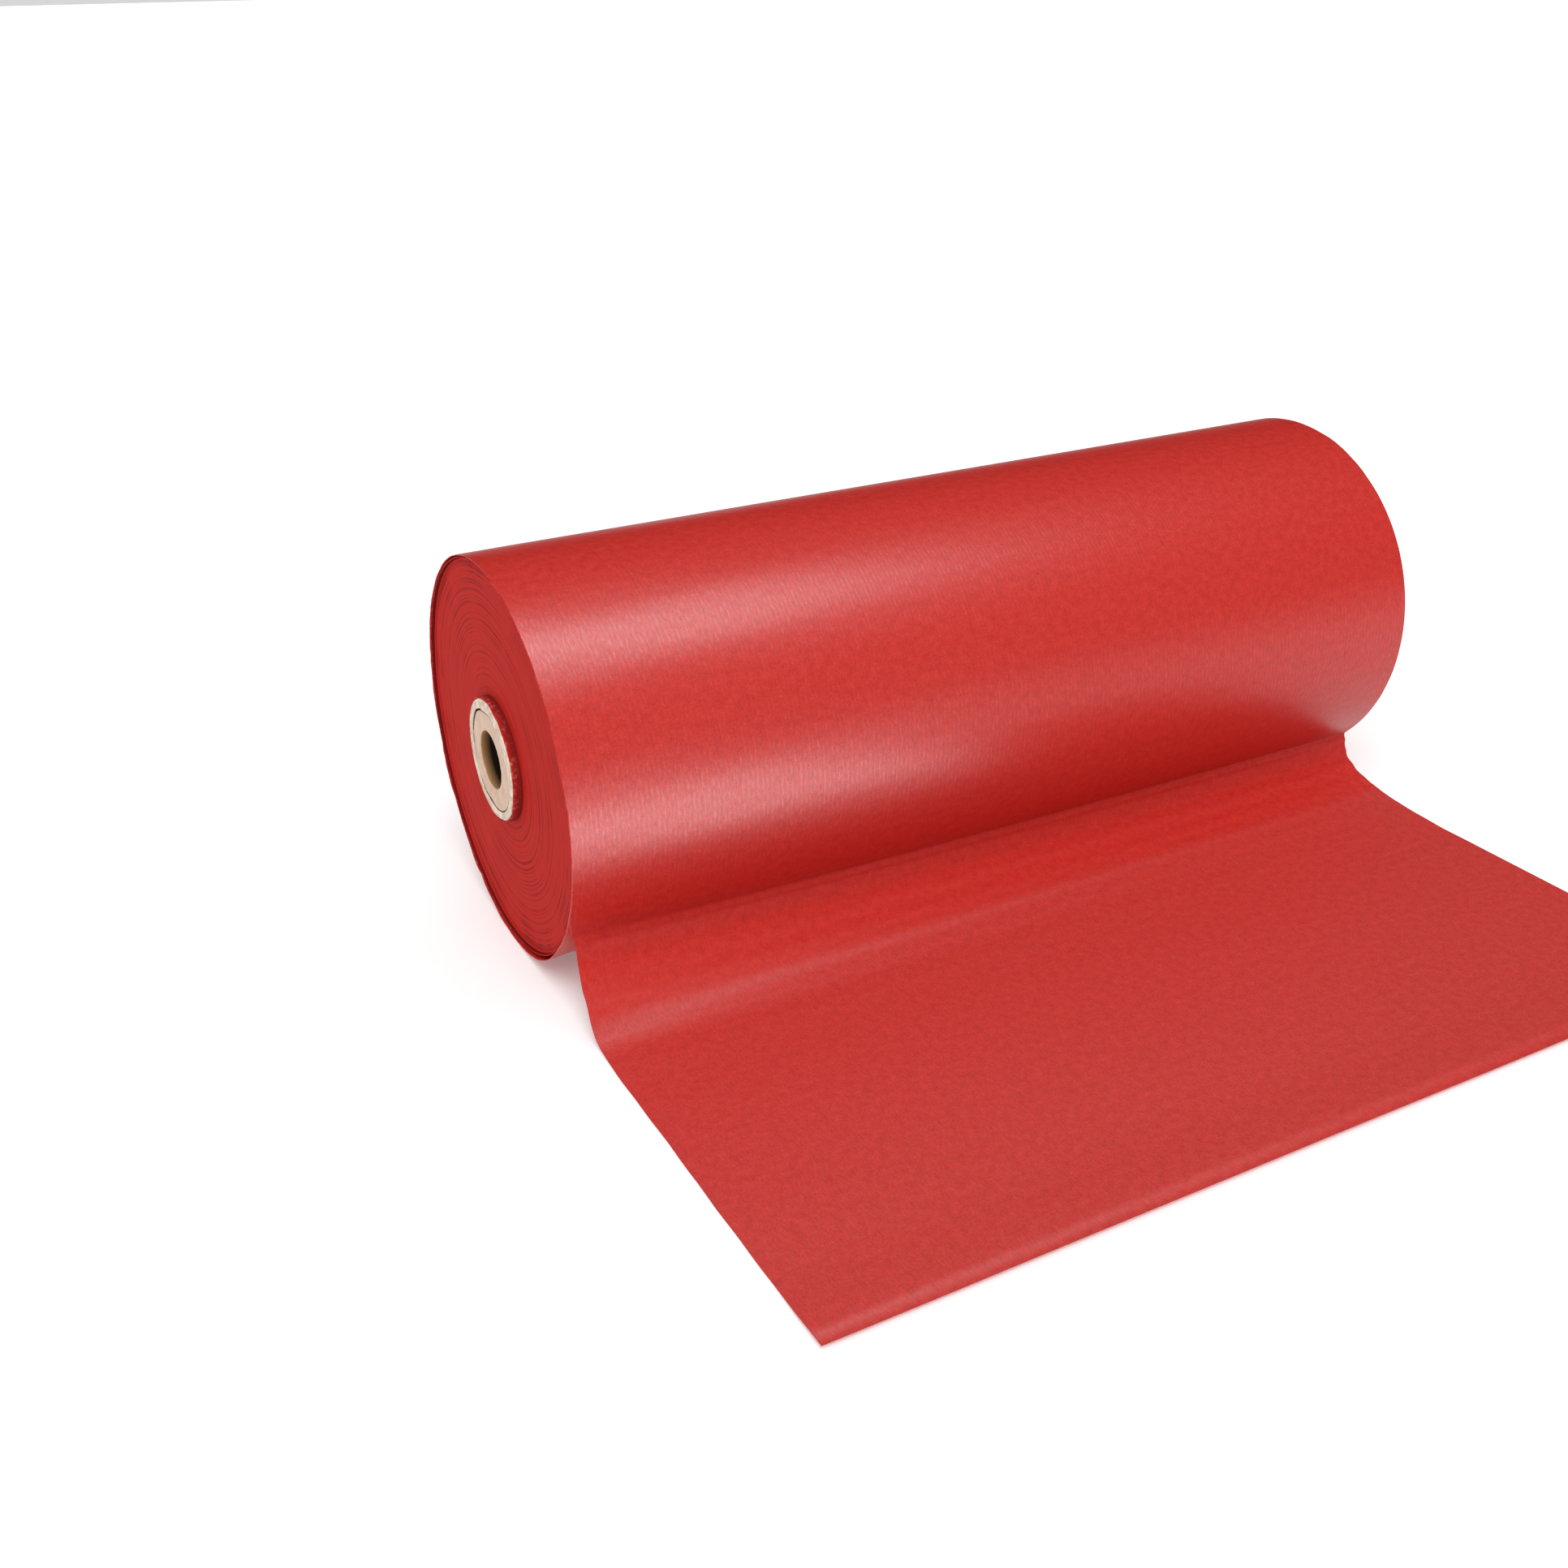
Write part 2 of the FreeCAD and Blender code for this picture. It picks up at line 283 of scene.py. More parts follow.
def loose_lines(tree, shade, radius, patch):
    """shade, with a dark line in places at each loose turn."""
    for gap in LOOSE_TURNS:
        off = maths(tree, "ABSOLUTE", maths(tree, "SUBTRACT", radius, gap * ROLL))
        line = maths(tree, "MULTIPLY", spread(tree, off, 0.1 * MM, 0.4 * MM, 0.85, 0.0),
                     spread(tree, patch, 0.42, 0.58))
        shade = colour_node(tree, line, shade, colour(96, 20, 20))
    return shade


def edge_material(name, light, dark):
    """The cut edges of many turns of the paper, as fine uneven rings that go dark in a groove with
    painted shade, and take a pale painted highlight in patches beside it."""
    material, tree, shader = start_material(name, roughness=0.8, specular=0.08)
    radius = around_axis(tree, 1.2 * MM)
    coarse, middle, fine = [ring_noise(tree, radius, g * MM) for g in (6, 1.6, 0.4)]
    spot = object_place(tree)
    patch = noise(tree, spot, 22 * MM, 2.0)
    fibre = noise(tree, spot, 1.0 * MM, 3.0, 0.65)
    faint = maths(tree, "MULTIPLY", spread(tree, patch, 0.35, 0.65, 0.2, 1.0),
                  spread(tree, middle, 0.50, 0.36))
    rings = colour_node(tree, faint, light, dark)
    bands = tint(tree, coarse, 0.3, 0.7, (0.97, 0.95, 0.95))
    edges = tint(tree, fine, 0.3, 0.7, (0.95, 0.92, 0.92))
    fleck = tint(tree, fibre, 0.3, 0.7, (0.92, 0.78, 0.78))
    shade = loose_lines(tree, darkened(tree, rings, bands, edges, fleck), radius, patch)
    # Painted shade: a dark red wherever the piece's third number puts a point down in a groove.
    groove = recess_shade_amount(tree)
    recess_shaded = colour_node(tree, groove, shade, colour(112, 24, 23))
    # Painted highlight: a pale pink, in noise patches, where the third number lies between 0 and
    # 1, which is along the rims beside a groove.
    scuffs = noise(tree, spot, 2.6 * MM, 4.0, 0.7)
    rim = maths(tree, "MULTIPLY", spread(tree, groove, 0.02, 0.1), spread(tree, groove, 0.9, 0.3))
    worn = maths(tree, "MULTIPLY", spread(tree, scuffs, 0.52, 0.66, 0.0, 0.75), rim)
    tree.links.new(colour_node(tree, worn, recess_shaded, colour(226, 134, 128)),
                   shader.inputs["Base Color"])
    shallow = bump(tree, fine, 0.03 * MM)
    tree.links.new(bump(tree, middle, 0.07 * MM, shallow), shader.inputs["Normal"])
    return material


def board_material():
    """Off-white core board, with fibres, scuffs and faint plies on its end, and painted shade,
    nearly black, over its inner wall.
    """
    material, tree, shader = start_material("core_board", roughness=0.85, specular=0.2)
    plies = ring_noise(tree, around_axis(tree, 0.6 * MM), 1.1 * MM)
    spot = object_place(tree)
    mottle = noise(tree, spot, 5 * MM, 4.0, 0.65)
    fibre = noise(tree, spot, 0.8 * MM, 3.0, 0.6)
    base = colour_node(tree, spread(tree, mottle, 0.35, 0.62), colour(203, 179, 156),
                       colour(238, 226, 211))
    layered = darkened(tree, base, tint(tree, plies, 0.35, 0.55, (0.87, 0.83, 0.79)))
    # Painted shade: the inner wall, in the gap behind the plug, goes nearly black.
    tree.links.new(colour_node(tree, recess_shade_amount(tree), layered, colour(62, 44, 36)),
                   shader.inputs["Base Color"])
    soft = bump(tree, mottle, 0.2 * MM)
    tree.links.new(bump(tree, fibre, 0.06 * MM, soft), shader.inputs["Normal"])
    return material


def chip_material():
    """Pressed wood pulp: tan with soft blotches and dark specks, with painted shade that deepens
    into the bar hole and painted shade on its side by the core's mouth.
    """
    material, tree, shader = start_material("plug_chipwood", roughness=0.8, specular=0.25)
    spot = object_place(tree)
    dust = noise(tree, spot, 0.9 * MM, 4.0, 0.7)
    patch = noise(tree, spot, 6 * MM, 3.0, 0.6)
    chips = colour_node(tree, spread(tree, patch, 0.30, 0.66), colour(205, 174, 152),
                        colour(222, 194, 173))
    worn = darkened(tree, chips, tint(tree, dust, 0.28, 0.40, (0.62, 0.48, 0.38)))
    radius = around_axis(tree, 0.0)
    ends = maths(tree, "ABSOLUTE", add_node(tree, "SeparateXYZ", {0: spot}).outputs["X"])
    # Painted shade in the bar hole: light brown at the mouth, going nearly black a few mm in.
    depth = maths(tree, "SUBTRACT", core_high.x, ends)
    hole_shaded = colour_node(tree, spread(tree, depth, 1 * MM, 5.5 * MM), colour(168, 124, 82),
                          colour(34, 22, 14))
    outside = spread(tree, radius, BORE + 0.15 * MM, BORE + 0.45 * MM)
    whole = colour_node(tree, outside, hole_shaded, worn)
    # Painted shade, nearly black, on the side near the face, in the crack against the core's
    # mouth.
    tree.links.new(colour_node(tree, recess_shade_amount(tree), whole, colour(48, 32, 24)),
                   shader.inputs["Base Color"])
    rough = bump(tree, patch, 0.15 * MM)
    tree.links.new(bump(tree, dust, 0.07 * MM, rough), shader.inputs["Normal"])
    return material


def tape_material():
    """Gummed kraft tape with long fibres."""
    material, tree, shader = start_material("start_tape", roughness=0.6, specular=0.4)
    spot = object_place(tree)
    fibre = noise(tree, spot, 1.5 * MM, 4.0, 0.6)
    tree.links.new(colour_node(tree, fibre, colour(176, 140, 92), colour(214, 184, 138)),
                   shader.inputs["Base Color"])
    tree.links.new(bump(tree, fibre, 0.05 * MM), shader.inputs["Normal"])
    return material


PAPER = paper_material("paper_web", colour(209, 56, 46), colour(193, 43, 35), 0.04 * MM)
PACK = edge_material("paper_pack", colour(194, 43, 36), colour(152, 27, 24))
EDGES = edge_material("paper_web_edges", colour(202, 45, 38), colour(178, 34, 30))
BOARD = board_material()
CHIP = chip_material()
TAPE = tape_material()


# ---------------------------------------------------------------- shape building
def wobble(angle, seed, lowest, highest, falloff=1.0):
    """A smooth closed ripple of about -1 to 1 round a circle, from whole harmonics."""
    random = np.random.default_rng(seed)
    total, power = np.zeros_like(angle, float), 0.0
    for harmonic in range(lowest, highest + 1):
        size = 1 / harmonic ** falloff
        total = total + size * np.sin(harmonic * angle + random.uniform(0, TURN))
        power += size * size / 2
    return total / (2 * math.sqrt(power))


def jagged(angle, seed, teeth):
    """A torn edge of about -1 to 1 round a circle: straight cuts between uneven corners."""
    random = np.random.default_rng(seed)
    corners = np.sort(random.uniform(0, TURN, teeth))
    heights = random.uniform(-1, 1, teeth)
    return np.interp(np.mod(angle, TURN), corners, heights, period=TURN)


def smooth_step(low, high, value):
    """0 to 1, eased at both ends, as value goes from low to high."""
    share = np.clip((value - low) / (high - low), 0, 1)
    return share * share * (3 - 2 * share)


def on_roll(angle, radius):
    """(y, z) of a point on a circle round the roll's axis."""
    return -radius * np.cos(angle), radius * np.sin(angle)


def make_piece(name, points, faces, material, places=None, smooth=60):
    """A mesh object. places is its web_place attribute, three numbers at each point. Edges
    that turn by more than smooth degrees stay sharp."""
    mesh = bpy.data.meshes.new(name)
    mesh.from_pydata(points.tolist(), [], faces)
    mesh.materials.append(material)
    if places is not None:
        attribute = mesh.attributes.new("web_place", "FLOAT_VECTOR", "POINT")
        attribute.data.foreach_set("vector", places.astype(np.float32).ravel())
    mesh.shade_smooth()
    mesh.set_sharp_from_angle(angle=math.radians(smooth))
    mesh.validate()
    piece = bpy.data.objects.new(name, mesh)
    scene.collection.objects.link(piece)
    return piece


def grid_faces(rows, columns, close_rows=False, close_columns=False):
    """Quads between rows x columns points, with either direction closed on itself."""
    faces = []
    for i in range(rows if close_rows else rows - 1):
        for j in range(columns if close_columns else columns - 1):
            a, b = i * columns + j, i * columns + (j + 1) % columns
            c, d = (i + 1) % rows * columns + (j + 1) % columns, (i + 1) % rows * columns + j
            faces.append((a, b, c, d))
    return faces


def lathe(name, outline, steps, material, bend=None):
    """A closed ring round the roll's axis. outline is its section as (x, radius) points, in
    order round the section, with a third number for the painted shade where a point lies in a
    groove or gap. bend(x, radius, angle) may move each point of each copy."""
    outline = np.array([(*point, 0)[:3] for point in outline])
    angles = np.arange(steps) * TURN / steps
    x, angle = np.meshgrid(outline[:, 0], angles)
    radius = np.meshgrid(outline[:, 1], angles)[0]
    place = np.column_stack([x.ravel(), (radius * angle).ravel(),
                             np.tile(outline[:, 2], steps)])
    if bend:
        x, radius = bend(x, radius, angle)
    y, z = on_roll(angle, radius)
    points = np.column_stack([x.ravel(), y.ravel(), z.ravel()])
    return make_piece(name, points, grid_faces(steps, len(outline), True, True), material, place)


# ---------------------------------------------------------------- the paper web
def smooth_line(knots, steps):
    """A smooth line in (y, z) through knots of (y, z, heading), with steps points from each to
    the next. A heading is in degrees below horizontal, facing -Y."""
    line = []
    for here, there in zip(knots, knots[1:]):
        first, last = Vector(here[:2]).to_3d(), Vector(there[:2]).to_3d()
        reach = (last - first).length / 3
        ways = [math.radians(180 + knot[2]) for knot in (here, there)]
        out, back = [Vector((math.cos(way), math.sin(way), 0)) * reach for way in ways]
        line += interpolate_bezier(first, first + out, last - back, last, steps)[:-1]
    return np.array([point[:2] for point in line + [last]])


# How many degrees lower than in the CAD the sheet leaves the roll at its left and right edges.
LOWER_LEFT, LOWER_RIGHT = 9, 21
# From here outwards, in Y, the sheet lies on the floor.
LANDED = -0.165


def lead_off(share, lie):
    """The free sheet's side view, as knots for smooth_line. share is 0 at the left edge, where
    the sheet leaves the roll high and falls steeply, and 1 at the right, where it leaves low and
    flows out. lie is the height at which it lies on the floor."""
    leave = LEAVE - math.radians(LOWER_LEFT + (LOWER_RIGHT - LOWER_LEFT) * share)
    off = (*on_roll(leave, ROLL - GAUGE / 2), 90 - math.degrees(leave))
    # Each edge's knots, as (y, z, heading) in millimetres and degrees.
    left = [
        (-81.4, -62.6, 95),
        (-83.2, -70.4, 69),
        (-90.6, -79.0, 46),
        (-102.3, -86.6, 41),
        (-110.2, -93.4, 41),
        (-115.4, -97.2, 22),
        (-136.0, -99.4, 3),
    ]
    right = [
        (-70.2, -77.0, 95),
        (-72.6, -84.2, 72),
        (-80.4, -90.0, 40),
        (-92.0, -94.2, 19),
        (-104.0, -96.6, 12),
        (-117.0, -98.2, 7),
        (-138.0, -99.4, 3),
    ]
    mixed = np.array(left) * (1 - share) + np.array(right) * share
    bend = [(y * MM, z * MM, heading) for y, z, heading in mixed.tolist()]
    return [off] + bend + [(LANDED, lie, 0), (sheet_low.y, lie, 0)]


def web_across():
    """The columns' distances from the web's left edge, closest together near both edges."""
    edge = np.array([0, 0.5, 1.1, 1.8, 2.7, 4, 6, 9, 13]) * MM
    inside = np.linspace(18 * MM, WEB_WIDTH - 18 * MM, num=42)
    return np.concatenate([edge, inside, (WEB_WIDTH - edge)[::-1]])


# Rows round the roll, and rows between two knots of the lead-off.
WRAP_ROWS, KNOT_ROWS = 300, 18
# How far from the left edge the lead-off takes to turn into the right edge's.
CHANGE_OVER = 0.15
# How far past the lead-off's angle the strip starts, hidden under itself.
HIDDEN_START = math.radians(7)


def web_side_views(across, lie):
    """The web's side view at each column, as (y, z) by row and column, and the left column's
    angles round the roll."""
    shares = (1 - np.exp(-across / CHANGE_OVER)) / (1 - math.exp(-WEB_WIDTH / CHANGE_OVER))
    start = LEAVE + HIDDEN_START + TURN
    columns, turns = [], []
    for share in shares:
        knots = lead_off(share, lie)
        turn = np.linspace(start, math.radians(90 - knots[0][2]), WRAP_ROWS)[:-1]
        inward = 0.30 * MM * smooth_step(0.2, 1.0, (turn - turn[-1]) / TURN)
        ripple = np.sin(13 * turn + 11 * share) + np.sin(22 * turn - 8 * share + 1) - 2
        swell = 0.05 * MM * ripple * smooth_step(0.1, 0.6, turn - turn[-1])
        wound = np.column_stack(on_roll(turn, ROLL - GAUGE / 2 - np.maximum(inward, -swell)))
        columns.append(np.concatenate([wound, smooth_line(knots, KNOT_ROWS)]))
        turns.append(turn)
    return np.stack(columns, axis=1), turns[0]


def web_x(across, along, angle, on_wrap, degrees):
    """Each point's x. The slit edges are ragged where they are wound, and nearly straight on
    the floor."""
    large = 0.26 * jagged(angle, seed=11, teeth=80)
    ragged = (large + 0.12 * jagged(angle, seed=12, teeth=260)) * MM
    loose = 0.12 * MM * np.sin(along * 190) + 0.10 * MM * np.sin(along * 71 + 1)
    spill = 1.0 * MM * smooth_step(-115, -76, degrees) * smooth_step(-40, -62, degrees)
    left_edge = np.where(on_wrap > 0, ragged - spill, loose)
    right_edge = np.where(on_wrap > 0, ragged[::-1], loose[::-1]) * 0.7
    near_left = np.exp(-across / (1.5 * MM))[None, :]
    near_right = np.exp(-(WEB_WIDTH - across) / (1.5 * MM))[None, :]
    x = WEB_LEFT + across[None, :] + left_edge[:, None] * near_left
    return x + right_edge[:, None] * near_right


# Between these heights the free sheet's left edge draws in, by this much at most, and it
# carries the sheet beside it along over about this width.
LET_GO, TOUCH_DOWN = -42 * MM, -94 * MM
DRAW_IN = 4.8 * MM
DRAWN_WIDTH = 0.06


def drawn_in(yz, across, wound_rows):
    """How far each point moves in from the left edge on its way from the roll to the floor."""
    fall = np.clip((LET_GO - yz[:, :, 1]) / (LET_GO - TOUCH_DOWN), 0, 1)
    later_rows = (np.arange(len(yz)) > wound_rows / 2)[:, None]
    hangs = ((yz[:, :, 0] < 0) & later_rows).astype(float)
    drawn = DRAW_IN * np.sin(math.pi * fall) ** 2 * hangs
    return drawn * np.exp(-across / DRAWN_WIDTH)[None, :]


def curled(yz, across, angle, on_wrap, degrees):
    """yz, where the turn's left edge curls in a little as it stands free of the pack, and gapes
    at the bottom, where its own weight holds it off the roll."""
    uneven = 0.16 + 0.16 * wobble(angle, seed=13, lowest=2, highest=7)
    curl = uneven[:, None] * MM * on_wrap[:, None]
    gape = 1.5 * MM * smooth_step(-86, -66, degrees) * smooth_step(-44, -56, degrees)
    curl = curl * np.exp(-across / (1.1 * MM))[None, :]
    curl = curl - (gape * on_wrap)[:, None] * np.exp(-across / (9 * MM))[None, :]
    radial = np.linalg.norm(yz, axis=2, keepdims=True)
    return yz * (1 - (curl[:, :, None] / radial))


def floor_rise(x, y):
    """How far the floor stretch rises: faint waves, and a lift of its cut end."""
    flat = smooth_step(0.15, 0.2, -y)
    waves = 0.25 * (1 + np.sin(x * 31 + y * 23) * np.sin(y * 41 - x * 9))
    raised = 2.2 * smooth_step(0.045, 0.0, y - sheet_low.y)
    return flat * (waves * 0.6 + raised) * MM


def web_slack(rows, wound_rows):
    """Each row's slack: 0 on the roll, 2 where it hangs and 1 on the floor."""
    row = np.arange(rows)
    hanging = 2 * smooth_step(wound_rows - 8, wound_rows + 6, row)
    # The row of the lead-off's fifth knot, where the sheet nears the floor.
    knee = wound_rows + KNOT_ROWS * 4
    return hanging - smooth_step(knee, knee + 14, row)


def add_web():
    """The last turn and the free sheet, one strip: it starts hidden under its own lead-off,
    goes under the roll, up the back and over the top, and off the front to the floor."""
    across = web_across()
    yz, turn = web_side_views(across, FLOOR + GAUGE / 2 + 0.05 * MM)
    rows, wound_rows = len(yz), len(turn)
    step = np.linalg.norm(np.diff(yz, axis=0), axis=2).mean(axis=1)
    along = np.concatenate([[0], np.cumsum(step)])
    on_wrap = (np.arange(rows) < wound_rows).astype(float)
    angle = np.concatenate([turn, np.full(rows - wound_rows, LEAVE)])
    # In degrees from -180 to 180, so that the roll's bottom is -90.
    degrees = np.degrees(angle) - 360 * (np.degrees(angle) > 180)

    paper_x = web_x(across, along, angle, on_wrap, degrees)
    x = paper_x + drawn_in(yz, across, wound_rows)
    yz = curled(yz, across, angle, on_wrap, degrees)
    yz[:, :, 1] += floor_rise(x, yz[:, :, 0])
    points = np.column_stack([x.ravel(), yz[:, :, 0].ravel(), yz[:, :, 1].ravel()])
    place = np.column_stack([paper_x.ravel(), np.repeat(along, len(across)),
                             np.repeat(web_slack(rows, wound_rows), len(across))])
    web = make_piece("paper_sheet", points, grid_faces(rows, len(across)), PAPER, place, 35)
    thick = web.modifiers.new("gauge", "SOLIDIFY")
    thick.thickness = GAUGE
    thick.offset = 0
    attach(web, "sheet")
    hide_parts("last_turn", "free_sheet")


add_web()


# ---------------------------------------------------------------- the wound pack
# Waves in the pack's end as (distance from wave to wave in metres, height in mm), and its
# ledges as (share of the roll's radius, height in mm).
PACK_WAVES = ((0.031, 0.10), (0.013, 0.06), (0.0052, 0.03), (0.0023, 0.02))
PACK_LEDGES = ((0.875, 0.16), (0.905, -0.12), (0.935, 0.16), (0.62, 0.05), (0.47, -0.05))


def ring_relief(radius, seed):
    """How far the pack's end stands out at each radius: uneven winding with a few ledges."""
    random = np.random.default_rng(seed)
    relief = np.zeros_like(radius)
    for grain, size in PACK_WAVES:
        relief += size * np.sin(TURN * radius / grain + random.uniform(0, TURN))
    for ledge, rise in PACK_LEDGES:
        relief += rise * smooth_step(ledge - 0.002, ledge + 0.002, radius / ROLL)
    return relief * MM


def add_pack():
    """The wound turns between the first ones and the outer ones, with uneven ends."""
    rings = np.linspace(inner_high.z, pack_high.z, num=150)
    left = [(pack_low.x, r) for r in rings]
    right = [(pack_high.x, r) for r in rings[::-1]]

    def bend(x, radius, angle):
        sway = radius + 0.35 * MM * wobble(angle, seed=21, lowest=1, highest=5)
        shift = np.where(x < 0, -ring_relief(sway, 22), ring_relief(sway, 23))
        shift = shift + 0.10 * MM * wobble(angle, seed=24, lowest=1, highest=4)
        return x + np.clip(shift, -0.6 * MM, 0.6 * MM), radius

    pack = lathe("pack_turns", left + right, steps=220, material=PACK, bend=bend)
    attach(pack, "roll")
    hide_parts("wound_paper")


def add_outer_turns():
    """The outer turns, which have run out past the pack in two steps at the left end."""
    inside, outside = pack_high.z, outer_high.z - 0.05 * MM
    proud, face = outer_low.x, pack_low.x
    far = outer_high.x
    outline = [
        (face + 4 * MM, inside),
        (face + 0.2 * MM, inside),
        (face - 0.5 * MM, inside + 0.03 * MM),
        (face - 0.7 * MM, inside + 0.15 * MM),
        (face - 0.6 * MM, inside + 0.35 * MM),
        # The points marked 1 are the inner wall of the turns that stand proud of the pack, which
        # the edge material paints with shade; the faces on either side take its pale painted
        # highlight.
        (face - 0.3 * MM, inside + 0.40 * MM, 1),
        (face - 0.3 * MM, inside + 0.62 * MM, 1),
        (proud + 0.5 * MM, inside + 0.62 * MM, 1),
        (proud + 0.05 * MM, inside + 0.68 * MM),
        (proud, inside + 0.80 * MM),
        (proud + 0.1 * MM, inside + 0.98 * MM),
        (proud + 0.9 * MM, outside - 0.2 * MM),
        (proud + 3 * MM, outside),
        (far - 1 * MM, outside),
        (far, outside - 0.3 * MM),
        (far, inside + 0.6 * MM),
        (far - 0.6 * MM, inside + 0.3 * MM),
        (far - 0.6 * MM, inside),
    ]

    def bend(x, radius, angle):
        rim = smooth_step(face, proud, x)
        large = 0.25 * jagged(angle, seed=31, teeth=70)
        jag = (large + 0.12 * jagged(angle, seed=32, teeth=240) + 0.1) * MM
        ripple = wobble(angle, seed=33, lowest=3, highest=12)
        return x + rim * jag, radius + rim * 0.12 * MM * ripple

    turns = lathe("outer_turn_edges", outline, steps=420, material=EDGES, bend=bend)
    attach(turns, "roll")
    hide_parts("outer_turns")


def add_inner_turns():
    """The first turns round the core, which stand out of the pack with a torn edge that carries a
    pale painted highlight in patches.
    """
    inside, outside = core_high.z, inner_high.z
    start, face, far = inner_low.x, pack_low.x, inner_high.x
    outline = [
        (face + 6 * MM, inside),
        # The third numbers set the edge material's painted shade, slight at the torn edge and
        # deepening along the outside towards the pack's end, where the painted highlight fades
        # out.
        (start + 0.4 * MM, inside, 0.2),
        (start, inside + 0.15 * MM, 0.1),
        (start + 0.05 * MM, inside + 0.35 * MM, 0.1),
        (start + 0.6 * MM, outside - 0.1 * MM, 0.45),
        (start + 2 * MM, outside, 0.7),
        (face, outside, 0.95),
        (far, outside),
        (far, inside),
    ]

    def bend(x, radius, angle):
        rim = smooth_step(face, start, x)
        large = 0.2 * jagged(angle, seed=41, teeth=30)
        jag = (large + 0.12 * jagged(angle, seed=43, teeth=90)) * MM
        ripple = wobble(angle, seed=42, lowest=3, highest=15)
        return x + rim * jag, radius + rim * 0.05 * MM * ripple

    turns = lathe("first_turns", outline, steps=260, material=EDGES, bend=bend)
    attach(turns, "roll")
    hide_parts("inner_turns")


add_pack()
add_outer_turns()
add_inner_turns()


# ---------------------------------------------------------------- core and plugs
# The mouth of the board core is dented out of round, and the pulp plug has set to it. Each
# corner is (degrees round the roll, mm from its axis).
MOUTH = [
    (-148, 26.0), (-124, 26.6), (-100, 25.0), (-72, 25.9), (-32, 26.0), (7, 25.6),
    (34, 23.8), (55, 24.0), (80, 24.6), (100, 24.0), (128, 26.2), (148, 26.0), (176, 25.6),
]


def mouth_radius(angle):
    """The mouth's radius at each angle: nearly straight sides between rounded corners."""
    degrees, radii = np.array(MOUTH).T
    blunt = [-6, -3, 0, 3, 6]
    turned = [np.interp(np.degrees(angle) + b, degrees, radii, period=360) for b in blunt]
    return np.mean(turned, axis=0) * MM


def add_core():
    """The board tube, whose ends are rounded and worn. Its section is (x, share of the wall)."""
    outside = core_high.z
    left, right = core_low.x, core_high.x
    wall = [0.0, 0.05, 0.1, 0.2, 0.4, 0.6, 0.8, 0.92, 1.0]
    # Share 0 is the inner wall, marked for the board's painted shade all along the bore.
    outline = [(left, share, share == 0) for share in wall]
    outline += [(right, share, share == 0) for share in wall[::-1]]

    def bend(x, share, angle):
        mouth = mouth_radius(angle) + 0.15 * MM
        soft_wear = 0.2 * wobble(angle, seed=51, lowest=2, highest=24, falloff=0.6)
        wear = (soft_wear + 0.25 * jagged(angle, seed=52, teeth=60)) * MM
        ends = np.where(x < 0, -1, 1)
        rounded = 0.7 * MM * (np.clip(np.abs(share - 0.5) - 0.38, 0, 1) / 0.12) ** 2
        plies = 0.08 * MM * np.sin(share * 26)
        out = x - ends * (rounded + 0.2 * MM) + ends * (wear * 0.5 + plies)
        skin = outside - 0.35 * MM * (1 + np.cos(angle)) / 2
        torn = (share > 0.9) * 0.25 * MM * (jagged(angle, seed=53, teeth=50) - 0.6)
        return out, mouth + (skin - mouth) * share + torn

    core = lathe("board_core", outline, steps=220, material=BOARD, bend=bend)
    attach(core, "roll")
    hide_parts("core_tube")


def add_plug(side):
    """A plug with a bar hole, loose in the core's mouth on one side. Its section is (x, share of
    the way from the hole's wall to its outside)."""
    node, body = ("core_plug_left", "plug_left") if side < 0 else ("core_plug_right", "plug_right")
    low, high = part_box(node)
    face, inner = (low.x, high.x) if side < 0 else (high.x, low.x)
    into = -side
    # The face's rounded rims: at each share of its width, how far it lies back in mm.
    rim = [1.0, 0.985, 0.93, 0.82, 0.7, 0.55, 0.4, 0.25, 0.07, 0.015, 0.0]
    drop = [0.8, 0.15, 0.0, 0.0, 0.0, 0.0, 0.0, 0.0, 0.05, 0.3, 0.9]
    # The third number marks the face's outer rim and the side's first 3 mm, where the chip
    # material paints shade in the crack against the core.
    outline = [(face + into * (d + 0.3) * MM, share, share > 0.99)
               for share, d in zip(rim, drop)]
    outline += [(face + into * 12 * MM, 0.0), (inner, 0.0), (inner, 0.86),
                (inner - into * 1.6 * MM, 1.0), (face + into * 4.5 * MM, 1.0),
                (face + into * 3 * MM, 1.0, 1)]

    def bend(x, share, angle):
        away = smooth_step(0.3, -0.6, np.cos(angle - math.radians(20)))
        gap = (0.12 + away * (0.85 + 0.45 * jagged(angle, seed=61, teeth=48))) * MM
        edge = mouth_radius(angle) - gap
        hole = BORE + 0.04 * MM * (1 + wobble(angle, seed=62, lowest=5, highest=30, falloff=0.5))
        round_pits = wobble(angle, seed=63, lowest=3, highest=20, falloff=0.5)
        pits = round_pits * np.sin(share * 9 + 1) * 0.07 * MM
        near = np.abs(x - face) < 2 * MM
        return x + near * into * pits, hole + (edge - hole) * share

    plug = lathe("chipwood_" + body, outline, steps=200, material=CHIP, bend=bend)
    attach(plug, body)
    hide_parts(node)


add_core()
add_plug(LEFT_END)
add_plug(RIGHT_END)
frame["nodes"]["start_tape"].data.materials.clear()
frame["nodes"]["start_tape"].data.materials.append(TAPE)


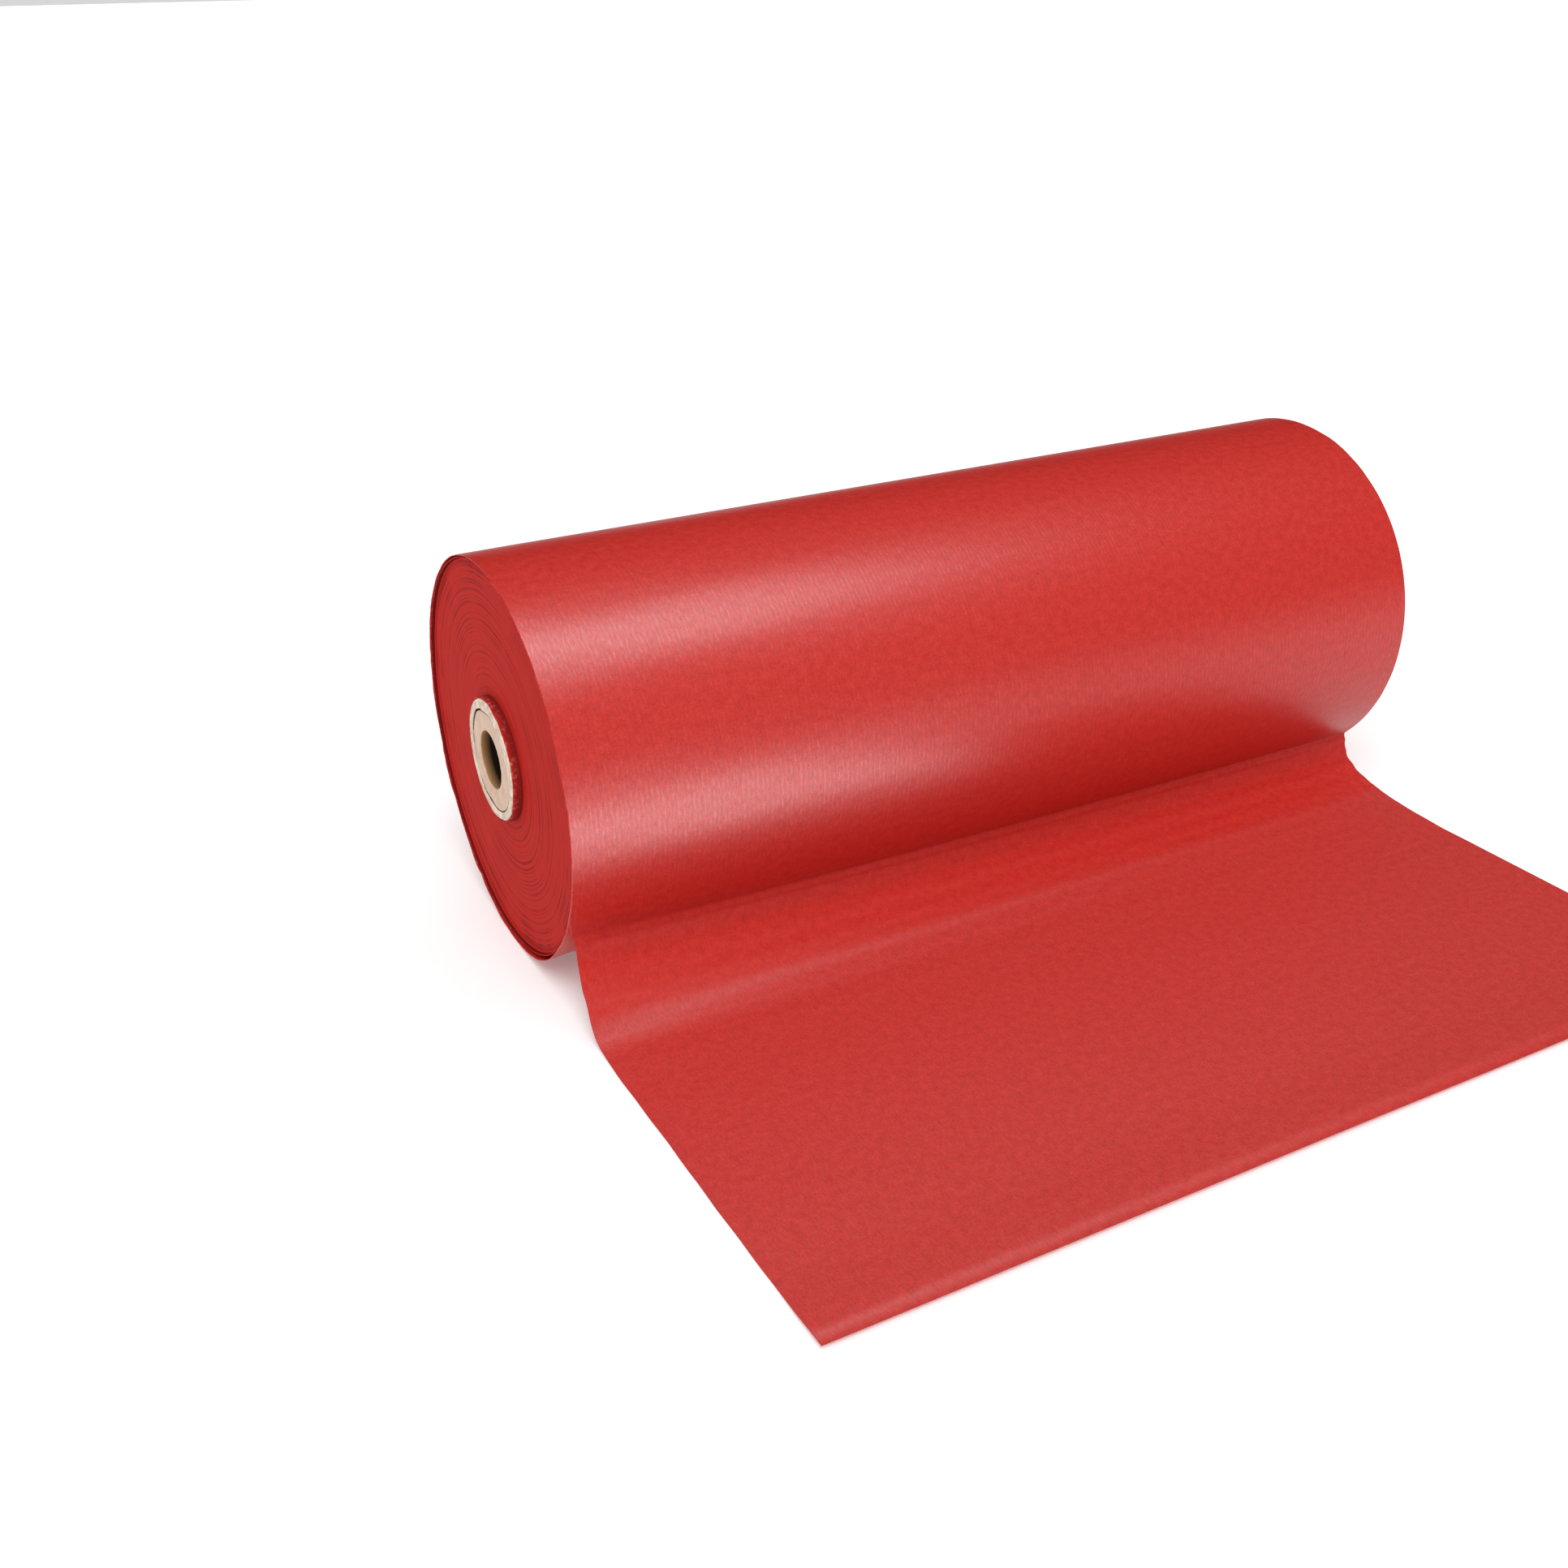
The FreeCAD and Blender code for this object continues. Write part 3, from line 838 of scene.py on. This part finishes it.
# ---------------------------------------------------------------- floor and light
def add_floor():
    """A wide white floor, which glows a little so that faint shadows on it wash out."""
    mesh = bpy.data.meshes.new("floor")
    half = 30.0
    corners = [(-half, -half, FLOOR), (half, -half, FLOOR), (half, half, FLOOR),
               (-half, half, FLOOR)]
    mesh.from_pydata(corners, [], [(0, 1, 2, 3)])
    material, _, shader = start_material("floor", roughness=0.7, specular=0.2)
    shader.inputs["Base Color"].default_value = (0.88, 0.88, 0.88, 1)
    shader.inputs["Emission Color"].default_value = (1, 1, 1, 1)
    shader.inputs["Emission Strength"].default_value = 0.17
    mesh.materials.append(material)
    floor = bpy.data.objects.new("floor", mesh)
    scene.collection.objects.link(floor)


# Short of red, so that highlights don't drive the red paper's red to its limit.
STRIP_TINT = (0.67, 0.98, 1.0)


def add_strip_light(name, place, target, size, radiance):
    """A soft light that makes only highlights, so that they are set apart from the shading."""
    width, height = size
    data = bpy.data.lights.new(name, "AREA")
    data.shape = "RECTANGLE"
    data.size = width
    data.size_y = height
    data.energy = radiance * width * height * math.pi
    data.color = STRIP_TINT
    light = bpy.data.objects.new(name, data)
    light.location = place
    aim = Vector(target) - Vector(place)
    light.rotation_euler = aim.to_track_quat("-Z", "Y").to_euler()
    light.visible_camera = False
    light.visible_diffuse = False
    scene.collection.objects.link(light)


def add_sun(name, towards, spread_degrees, strength):
    """A very wide, even light from one side of the sky, which makes no highlights."""
    data = bpy.data.lights.new(name, "SUN")
    data.energy = strength
    data.angle = math.radians(spread_degrees)
    light = bpy.data.objects.new(name, data)
    light.rotation_euler = Vector(towards).to_track_quat("Z", "Y").to_euler()
    light.visible_glossy = False
    scene.collection.objects.link(light)


def add_world(strength):
    """An even white sky that makes no highlights."""
    world = bpy.data.worlds.new("studio")
    scene.world = world
    world.use_nodes = True
    background = world.node_tree.nodes["Background"]
    background.inputs["Color"].default_value = (1, 1, 1, 1)
    background.inputs["Strength"].default_value = strength
    world.cycles_visibility.glossy = False


add_floor()
add_world(strength=0.68)
add_sun("key", towards=(-0.22, -0.58, 1.0), spread_degrees=40, strength=1.76)
add_strip_light("softbox", place=(-0.04, -0.26, 1.0), target=(-0.04, -0.26, 0),
                size=(0.92, 0.42), radiance=7.4)
add_strip_light("table_bounce", place=(-0.135, -0.40, FLOOR + 6 * MM), target=(-0.135, -0.40, 1),
                size=(0.34, 0.40), radiance=5.6)
scene.view_settings.view_transform = "Standard"
